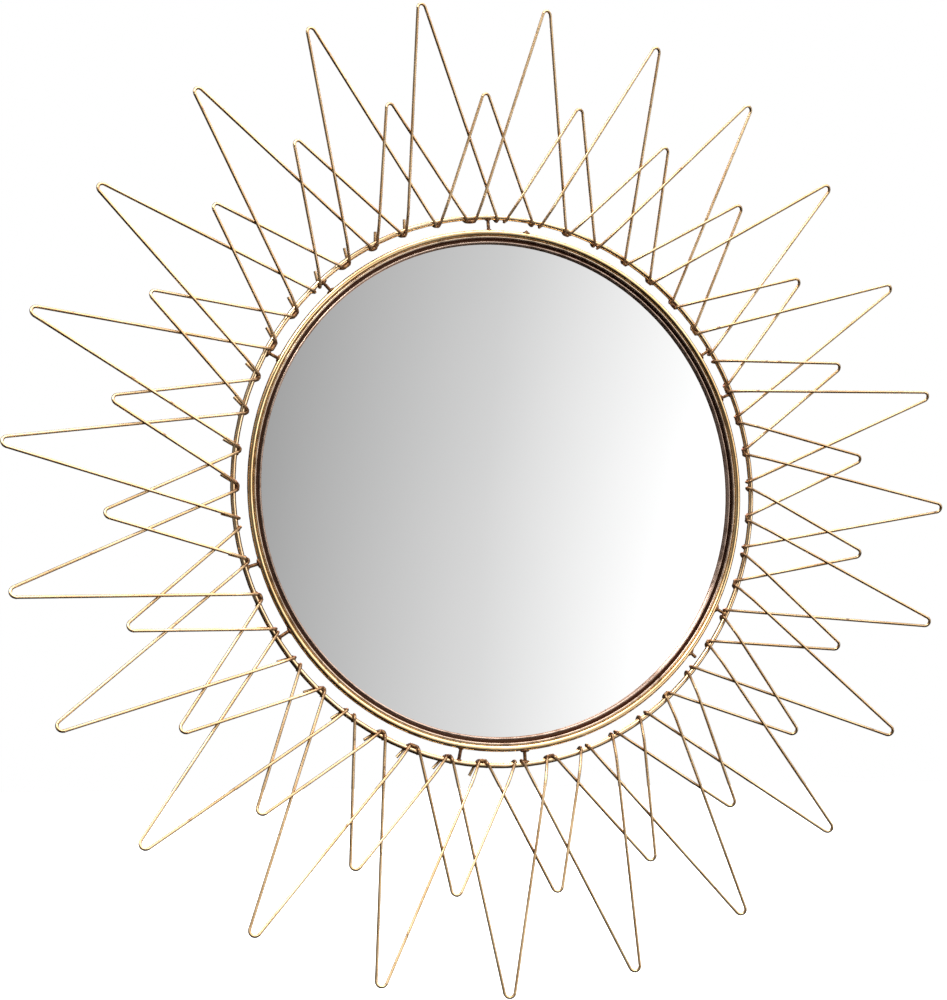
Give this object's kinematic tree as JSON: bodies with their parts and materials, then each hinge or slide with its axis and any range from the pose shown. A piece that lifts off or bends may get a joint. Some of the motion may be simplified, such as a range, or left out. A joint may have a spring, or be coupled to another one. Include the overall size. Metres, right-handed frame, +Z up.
{
  "type": "sunburst wall mirror",
  "caption": "Round wall mirror in a metal tray, inside a wire ring that carries long and short hairpin wire rays hooked over it, with swinging hanging rings behind.",
  "frame": {"origin": "on the mirror's axis, in the plane of the wall it hangs on", "axes": "+X to the viewer's right, +Z up, +Y into the wall, so the mirror faces -Y"},
  "size_m": [0.9002, 0.0725, 0.9002],
  "materials": {
    "ray_wire": "antique gold wash over iron wire",
    "ring_rod": "antique gold wash over iron rod",
    "bead_rod": "satin gold over iron rod",
    "braze": "rough brazed",
    "tray_sheet": "dark bronze with rubbed gold edges",
    "mirror_glass": "silvered glass",
    "foam": "thin black foam",
    "fibreboard": "brown hardboard",
    "hanger_steel": "zinc plated",
    "screw_steel": "zinc plated",
    "bumper_rubber": "matte"
  },
  "bodies": {
    "frame": {"support_ring": "ring_rod", "bead_ring": "bead_rod", "ring_pegs": "braze", "mirror_tray": "tray_sheet", "mirror_glass": "mirror_glass", "soft_pad": "foam", "backing_board": "fibreboard", "hanger_straps": "hanger_steel", "hanger_screws": "screw_steel", "wall_bumpers": "bumper_rubber", "long_ray_01": "ray_wire", "long_ray_02": "ray_wire", "long_ray_03": "ray_wire", "long_ray_04": "ray_wire", "long_ray_05": "ray_wire", "long_ray_06": "ray_wire", "long_ray_07": "ray_wire", "long_ray_08": "ray_wire", "long_ray_09": "ray_wire", "long_ray_10": "ray_wire", "long_ray_11": "ray_wire", "long_ray_12": "ray_wire", "long_ray_13": "ray_wire", "long_ray_14": "ray_wire", "long_ray_15": "ray_wire", "long_ray_16": "ray_wire", "long_ray_17": "ray_wire", "long_ray_18": "ray_wire", "long_ray_19": "ray_wire", "long_ray_20": "ray_wire", "long_ray_21": "ray_wire", "long_ray_22": "ray_wire", "long_ray_23": "ray_wire", "long_ray_24": "ray_wire", "short_ray_01": "ray_wire", "short_ray_02": "ray_wire", "short_ray_03": "ray_wire", "short_ray_04": "ray_wire", "short_ray_05": "ray_wire", "short_ray_06": "ray_wire", "short_ray_07": "ray_wire", "short_ray_08": "ray_wire", "short_ray_09": "ray_wire", "short_ray_10": "ray_wire", "short_ray_11": "ray_wire", "short_ray_12": "ray_wire", "short_ray_13": "ray_wire", "short_ray_14": "ray_wire", "short_ray_15": "ray_wire", "short_ray_16": "ray_wire", "short_ray_17": "ray_wire", "short_ray_18": "ray_wire", "short_ray_19": "ray_wire", "short_ray_20": "ray_wire", "short_ray_21": "ray_wire", "short_ray_22": "ray_wire", "short_ray_23": "ray_wire", "short_ray_24": "ray_wire"},
    "left_hanger": {"ring_left": "hanger_steel"},
    "right_hanger": {"ring_right": "hanger_steel"}
  },
  "joints": [
    {"name": "left_hanger_swing", "type": "hinge", "parent": "frame", "child": "left_hanger", "pos_m": [-0.15, -0.00518, 0.12], "axis": [1, 0, 0], "range_deg": [0, 175]},
    {"name": "right_hanger_swing", "type": "hinge", "parent": "frame", "child": "right_hanger", "pos_m": [0.15, -0.00518, 0.12], "axis": [1, 0, 0], "range_deg": [0, 175]}
  ]
}
